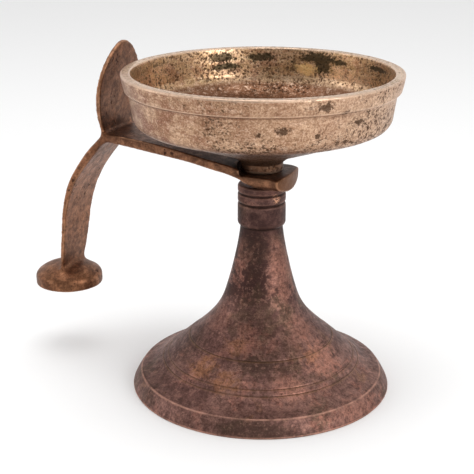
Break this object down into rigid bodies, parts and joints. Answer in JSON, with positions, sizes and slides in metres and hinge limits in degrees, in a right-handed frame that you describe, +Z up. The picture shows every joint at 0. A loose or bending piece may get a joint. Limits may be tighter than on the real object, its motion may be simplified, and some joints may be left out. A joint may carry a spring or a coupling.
{
  "type": "standing oil lamp with strap handle",
  "caption": "Round cast pan on a boss, screwed down through the eye of a swivelling strap handle with a hood plate and foot pad into a turned bell-shaped pedestal.",
  "frame": {"origin": "on the lamp's turning axis, at the plane the pedestal stands on", "axes": "+Z up along the turning axis, -X towards the handle, X-Z the handle's middle plane"},
  "size_m": [0.2501, 0.1712, 0.2164],
  "materials": {
    "pedestal_bronze": "dark red-brown patina with green and gold mottling",
    "stem_brass": "dull, unpolished thread",
    "handle_bronze": "mid-brown worn patina",
    "pan_bronze": "rubbed tan bronze with dark pitting"
  },
  "bodies": {
    "stand": {"pedestal": "pedestal_bronze"},
    "stem": {"screw_stem": "stem_brass"},
    "grip": {"handle": "handle_bronze"},
    "bowl": {"pan": "pan_bronze"}
  },
  "joints": [
    {"name": "handle_swivel", "type": "hinge", "parent": "stand", "child": "grip", "pos_m": [0, 0, 0.134], "axis": [0, 0, 1], "continuous": true},
    {"name": "stem_lift", "type": "slide", "parent": "stand", "child": "stem", "axis": [0, 0, 1], "range_m": [0, 0.02501]},
    {"name": "pan_unscrew", "type": "hinge", "parent": "stem", "child": "bowl", "pos_m": [0, 0, 0.1424], "axis": [0, 0, 1], "range_deg": [0, 3600]}
  ],
  "couplings": [
    {"joint": "stem_lift", "follows": "pan_unscrew", "m_per_rad": 0.00039789}
  ]
}
